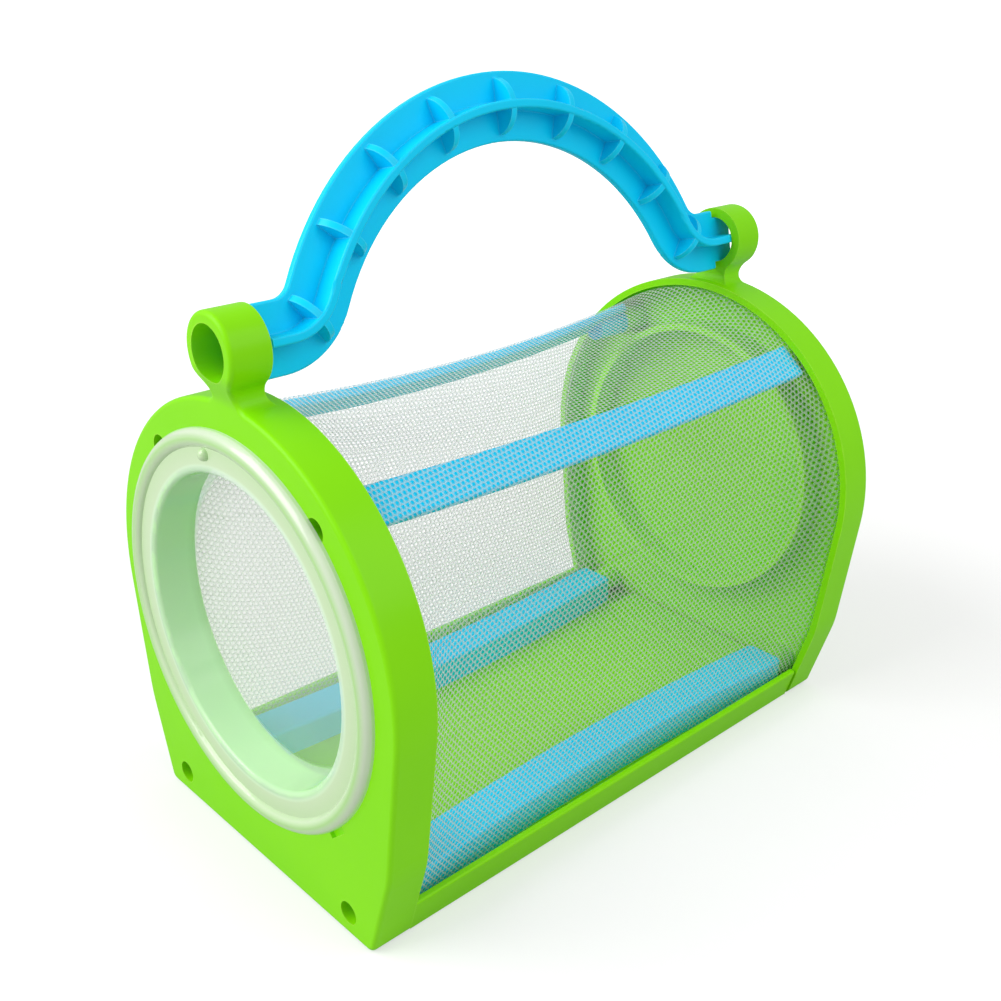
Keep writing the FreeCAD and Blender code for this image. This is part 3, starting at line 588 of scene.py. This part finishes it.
def lattice():
    """The meshes of the whole net: centres, and the knots round each as indices into all knots."""
    step_one = NET_PITCH * np.array([math.sin(NET_SKEW), math.cos(NET_SKEW)])
    turn = NET_SKEW + math.tau / NET_SIDES
    step_two = NET_PITCH * np.array([math.sin(turn), math.cos(turn)])
    reach = int(NET_SPARE * (NET_GIRTH + NET_LENGTH) / NET_PITCH)
    index = np.arange(-reach, reach)
    i, j = [grid.ravel() for grid in np.meshgrid(index, index, indexing="ij")]
    centre = i[:, None] * step_one + j[:, None] * step_two
    margin = NET_PITCH / 2
    inside = np.all((centre > margin) & (centre < np.array([NET_GIRTH, NET_LENGTH]) - margin), axis=1)
    i, j, centre = i[inside], j[inside], centre[inside]
    third = (step_one + step_two) / 3
    round_mesh = ((0, 0, 0), (-1, 0, 1), (-1, 0, 0), (-1, -1, 1), (0, -1, 0), (0, -1, 1))
    # A knot's number holds its row, its place in the row and its set, so that meshes side by side share it
    row_length = 4 * reach
    numbers = []
    for across, along, kind in round_mesh:
        numbers.append(((i + across + reach) * row_length + (j + along + reach)) * 2 + kind)
    numbers = np.stack(numbers, axis=1)
    known, corners = np.unique(numbers, return_inverse=True)
    row, column = np.divmod(known // 2, row_length)
    knots = (row - reach)[:, None] * step_one + (column - reach)[:, None] * step_two
    knots += third * (1 + known % 2)[:, None]
    shake = np.random.default_rng(NET_SEED).normal(0.0, NET_JITTER * NET_PITCH, knots.shape)
    return centre, corners.reshape(numbers.shape), knots + shake


def border_walls(local, outer_knot, inner_knot):
    """Small walls that close the threads cut in half along a panel's border."""
    sides = np.stack([local, local[:, NEXT_SIDE]], axis=2).reshape(-1, 2)
    ordered = np.sort(sides, axis=1)
    _, which, count = np.unique(ordered, axis=0, return_inverse=True, return_counts=True)
    border = sides[count[which.ravel()] == 1]
    start, end = border[:, 0], border[:, 1]
    return np.stack([outer_knot[start], outer_knot[end], inner_knot[end], inner_knot[start]], axis=1)


def thread_faces(local, knots, ring):
    """Outer and inner faces of the threads round each mesh, with the border closed, and which are thread."""
    outer_knot = np.arange(knots)
    inner_knot = knots + outer_knot
    next_ring = ring[:, NEXT_SIDE]
    outside = np.stack([outer_knot[local], ring, next_ring, outer_knot[local][:, NEXT_SIDE]], axis=2)
    inside = np.stack([inner_knot[local][:, NEXT_SIDE], next_ring, ring, inner_knot[local]], axis=2)
    walls = border_walls(local, outer_knot, inner_knot)
    faces = np.concatenate([outside.reshape(-1, 4), inside.reshape(-1, 4), walls])
    return faces, np.arange(len(faces)) < len(faces) - len(walls)


def quad_mesh(name, vertices, faces):
    """A smooth mesh from arrays of points and of four-sided faces."""
    mesh = bpy.data.meshes.new(name)
    mesh.vertices.add(len(vertices))
    mesh.vertices.foreach_set("co", vertices.astype(np.float32).ravel())
    mesh.loops.add(faces.size)
    mesh.loops.foreach_set("vertex_index", faces.astype(np.int32).ravel())
    mesh.polygons.add(len(faces))
    mesh.polygons.foreach_set("loop_start", np.arange(0, faces.size, 4, dtype=np.int32))
    mesh.polygons.foreach_set("use_smooth", np.ones(len(faces), dtype=bool))
    mesh.update(calc_edges=True)
    return mesh


def keep_values(mesh, name, domain, values):
    """Keeps a number for each point or face of a mesh, under a name that a finish can read."""
    kept = mesh.attributes.new(name, "FLOAT", domain)
    kept.data.foreach_set("value", values.astype(np.float32))


def knit_panel(name, centre, corners, knots):
    """One closed mesh of threads round the given meshes of the net."""
    used, local = np.unique(corners, return_inverse=True)
    local = local.reshape(corners.shape)
    point, normal = on_net(knots[used])
    lift = normal * NET_THREAD_HEIGHT / 2
    hole = centre[:, None, :] + NET_HOLE_SHARE * (knots[corners] - centre[:, None, :])
    hole_point, _ = on_net(hole.reshape(-1, 2))
    vertices = np.concatenate([point + lift, point - lift, hole_point])
    ring = 2 * len(used) + np.arange(corners.size).reshape(corners.shape)
    faces, is_thread = thread_faces(local, len(used), ring)
    mesh = quad_mesh(name, vertices, faces)
    keep_values(mesh, "thickness", "POINT", np.repeat([1.0, 0.0], [2 * len(used), ring.size]))
    keep_values(mesh, "thread", "FACE", is_thread)
    panel = bpy.data.objects.new(name, mesh)
    bpy.context.scene.collection.objects.link(panel)
    return panel


def knit_net():
    """The panels of the net, each with the meshes whose centres lie in its width."""
    centre, corners, knots = lattice()
    panels = []
    for number, name in enumerate(NET_PANELS):
        mine = np.floor(centre[:, 0] / NET_PANEL_WIDTH).astype(int) == number
        panels.append(knit_panel(name, centre[mine], corners[mine], knots))
    return panels


net_panels = knit_net()
for panel in net_panels:
    print(panel.name, len(panel.data.polygons), "faces")

# %% [markdown]
# The threads are white polyester, finer than they look: each is a loose bundle of filaments that light
# goes through. So the finish is half clear, most of all at the fuzzy edges, and its white has fine streaks.
# A bundle seen edge-on hides more, because the way through it is longer. Much of the light that a filament
# stops it passes on, so the shadow of the net is fainter than the net. Rays that cross many threads need
# more clear steps than Blender allows at first.

# %% Net finish
NET_STREAKS = (1400.0, 2.0)
NET_SHADES = [(0.0, (0.70, 0.73, 0.71, 1)), (1.0, (0.82, 0.85, 0.83, 1))]
NET_ROUGHNESS = (0.4, 0.6)
NET_VEIL = 0.36
NET_FUZZ = 0.12
NET_LONGEST_WAY = 8.0
NET_SHADOW = 0.4
CLEAR_STEPS = 32


def kept_value(tree, name):
    """A value that the mesh keeps for its points or faces."""
    node = tree.nodes.new("ShaderNodeAttribute")
    node.attribute_name = name
    return node.outputs["Fac"]


def net_thread():
    material, tree, shader = start_material("white_net_thread")
    streaks = noise_of(tree, own_place(tree), *NET_STREAKS)
    tree.links.new(ramp_of(tree, streaks, NET_SHADES), shader.inputs["Base Color"])
    tree.links.new(between(tree, streaks, *NET_ROUGHNESS), shader.inputs["Roughness"])
    thick = between(tree, kept_value(tree, "thickness"), NET_FUZZ, 1.0)
    body = math_node(tree, "MULTIPLY", thick, kept_value(tree, "thread"))
    edge_on = tree.nodes.new("ShaderNodeLayerWeight").outputs["Facing"]
    way = math_node(tree, "DIVIDE", 1.0, math_node(tree, "SUBTRACT", 1.0, edge_on))
    longest = math_node(tree, "MINIMUM", way, NET_LONGEST_WAY)
    clear = math_node(tree, "SUBTRACT", 1.0, math_node(tree, "MULTIPLY", body, NET_VEIL))
    veil = math_node(tree, "SUBTRACT", 1.0, math_node(tree, "POWER", clear, longest))
    tree.links.new(math_node(tree, "MULTIPLY", veil, near_face(tree, NET_SHADOW)), shader.inputs["Alpha"])
    set_inputs(shader, Specular_IOR_Level=0.2)
    bpy.context.scene.cycles.transparent_max_bounces = CLEAR_STEPS
    return material


NET_WHITE = net_thread()
for panel in net_panels:
    panel.data.materials.append(NET_WHITE)
    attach(panel, "cage")
    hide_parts("mesh_net")
